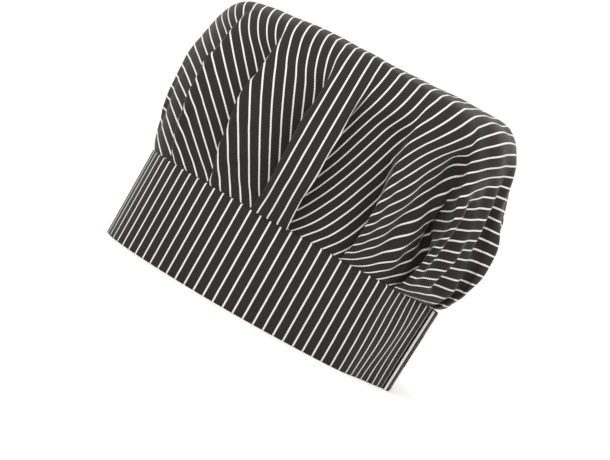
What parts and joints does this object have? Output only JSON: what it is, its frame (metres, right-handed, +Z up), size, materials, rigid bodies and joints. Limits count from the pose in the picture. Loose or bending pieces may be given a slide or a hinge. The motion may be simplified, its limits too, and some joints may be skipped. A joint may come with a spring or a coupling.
{
  "type": "pleated chef toque",
  "caption": "Chef toque with a puffed crown pleated into a stiffened band that closes at the back with a hook-and-loop tab.",
  "frame": {"origin": "centre of the plane of the band's lower edge", "axes": "+Z up out of the crown, front of the hat towards -Y, closure towards +Y, wearer's left ear towards +X"},
  "size_m": [0.212, 0.234, 0.1828],
  "materials": {
    "striped_cloth": "matt black twill with a white pinstripe",
    "interfacing": "matt non-woven sheet",
    "overlock": "matt looped black thread over raw cloth edges",
    "black_thread": "satin spun polyester thread",
    "white_thread": "satin spun polyester thread",
    "loop_pile": "matt napped nylon loop tape",
    "hook_pile": "stiff woven nylon hook tape",
    "label_satin": "semi-gloss woven satin ribbon, blank"
  },
  "bodies": {
    "hat": {"crown_cloth": "striped_cloth", "band_cloth": "striped_cloth", "band_stiffener": "interfacing", "seam_allowance": "overlock", "seam_thread": "black_thread", "slit_bartack": "white_thread", "loop_tape": "loop_pile", "loop_tape_thread": "black_thread", "under_end_thread": "black_thread", "label_thread": "white_thread"},
    "tab": {"tab_cloth": "striped_cloth", "tab_stiffener": "interfacing", "hook_tape": "hook_pile", "hook_tape_thread": "black_thread", "tab_edge_thread": "black_thread"},
    "label": {"care_label": "label_satin"}
  },
  "joints": [
    {"name": "tab_peel", "type": "hinge", "parent": "hat", "child": "tab", "pos_m": [-0.02981, 0.09607, 0.03], "axis": [0, 0, 1], "range_deg": [0, 110]},
    {"name": "label_swing", "type": "hinge", "parent": "hat", "child": "label", "pos_m": [0.06483, 0.0488, 0.0515], "axis": [-0.4067, 0.9135, 0], "range_deg": [0, 60]}
  ]
}
